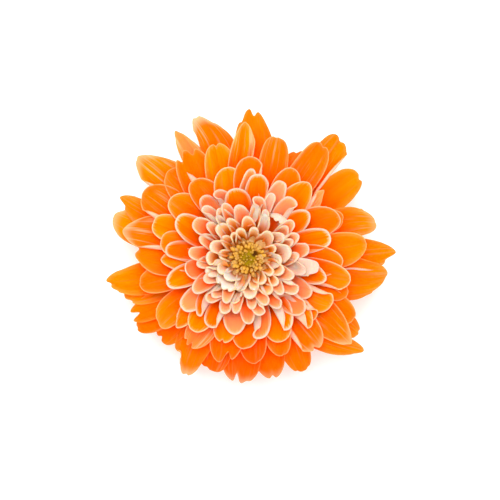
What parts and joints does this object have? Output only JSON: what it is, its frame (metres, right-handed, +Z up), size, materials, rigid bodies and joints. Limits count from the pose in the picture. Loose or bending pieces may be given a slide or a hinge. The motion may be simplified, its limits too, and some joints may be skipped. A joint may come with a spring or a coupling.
{
  "type": "chrysanthemum flower head",
  "caption": "Picked double chrysanthemum bloom: layered ray florets in a rosette round a small sunken disc, on a green involucre and a short flush-cut stem stub.",
  "frame": {"origin": "centre of the stem stub's flat cut face, on which the head rests face up", "axes": "+Z up through the middle of the disc; +X and +Y lie in the plane that the head rests on, +Y towards the top of the pictured view"},
  "size_m": [0.0763, 0.0727, 0.0277],
  "materials": {
    "stem": "fresh green stem, satin, finely ribbed and downy",
    "bracts": "grey-green bracts with thin papery brown margins, matt",
    "outer_petals": "golden orange petals with fine lengthwise veins, soft satin",
    "inner_petals": "peach-orange cupped petals with cream rims and backs, soft satin",
    "disc": "yellow-green unopened florets, matt"
  },
  "bodies": {
    "root": {"peduncle": "stem", "involucre": "bracts", "outer_rays": "outer_petals", "inner_rays": "inner_petals", "disc_florets": "disc"}
  },
  "joints": []
}
